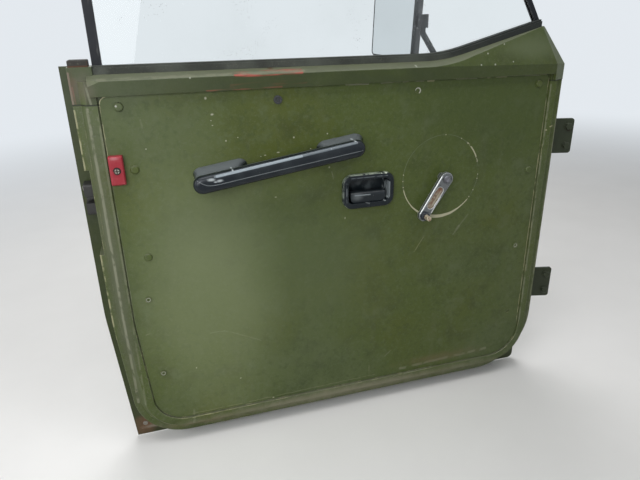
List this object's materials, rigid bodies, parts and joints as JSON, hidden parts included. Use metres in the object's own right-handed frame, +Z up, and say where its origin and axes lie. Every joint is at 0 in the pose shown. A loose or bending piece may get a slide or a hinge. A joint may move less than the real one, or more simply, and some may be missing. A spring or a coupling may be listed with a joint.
{
  "type": "vehicle front door",
  "caption": "Left front door of a boxy army 4x4 car, with steel trim panel, framed wind-up window, pull handle, crank, mirror and lift-off hinges.",
  "frame": {"origin": "centre of the upper hinge's two bolts, on the fixed leaf's face that lies on the body pillar", "axes": "+X along the open door from its latch edge to its hinge edge, +Y from the cabin side to the outer skin, +Z up"},
  "size_m": [0.9708, 0.2809, 1.2125],
  "materials": {
    "green_paint": "matt army green paint, worn",
    "green_plastic": "overpainted",
    "black_paint": "satin black paint",
    "black_rubber": "matt",
    "black_plastic": "semi gloss, scuffed",
    "clear_glass": "clear, with rain drops",
    "bare_metal": "worn, dull",
    "bare_steel": "greased",
    "rusty_strip": "rusty",
    "red_plastic": "clear red",
    "mirror_glass": "mirror"
  },
  "bodies": {
    "pillar_leaves": {"hinge_upper_pillar_leaf": "green_paint", "hinge_lower_pillar_leaf": "green_paint"},
    "door": {"hinge_upper_door_leaf": "green_paint", "hinge_lower_door_leaf": "green_paint", "hinge_bolts": "green_paint", "inner_pan": "green_paint", "outer_skin": "green_paint", "belt_rail": "green_paint", "trim_panel": "green_paint", "trim_plugs": "green_plastic", "trim_screws": "green_paint", "top_plug": "black_rubber", "window_rear_post": "black_paint", "window_header": "black_paint", "window_front_post": "black_paint", "glass_run_seal": "black_rubber", "window_glass": "clear_glass", "belt_seal_inner": "black_rubber", "belt_seal_outer": "black_rubber", "belt_end_block": "black_rubber", "pull_handle": "black_plastic", "release_bezel": "black_plastic", "release_lever": "black_plastic", "crank_arm": "bare_metal", "crank_insert": "rusty_strip", "crank_hub_screw": "bare_metal", "crank_knob_base": "black_plastic", "crank_knob_pin": "rusty_strip", "reflector": "red_plastic", "reflector_screw": "bare_metal", "latch_case": "bare_steel", "latch_claw": "bare_steel", "corner_rivet": "bare_metal", "outer_handle_plate": "black_plastic", "outer_handle_grip": "black_plastic", "push_button": "bare_metal", "lock_cylinder": "bare_metal", "mirror_housing": "black_plastic", "mirror_glass": "mirror_glass", "mirror_arm": "black_paint", "mirror_clamp": "black_paint", "mirror_bracket": "green_paint"}
  },
  "joints": [
    {"name": "door_swing", "type": "hinge", "parent": "pillar_leaves", "child": "door", "pos_m": [-0.05616, 0.00677, 0], "axis": [0, 0, 1], "range_deg": [0, 75]}
  ]
}
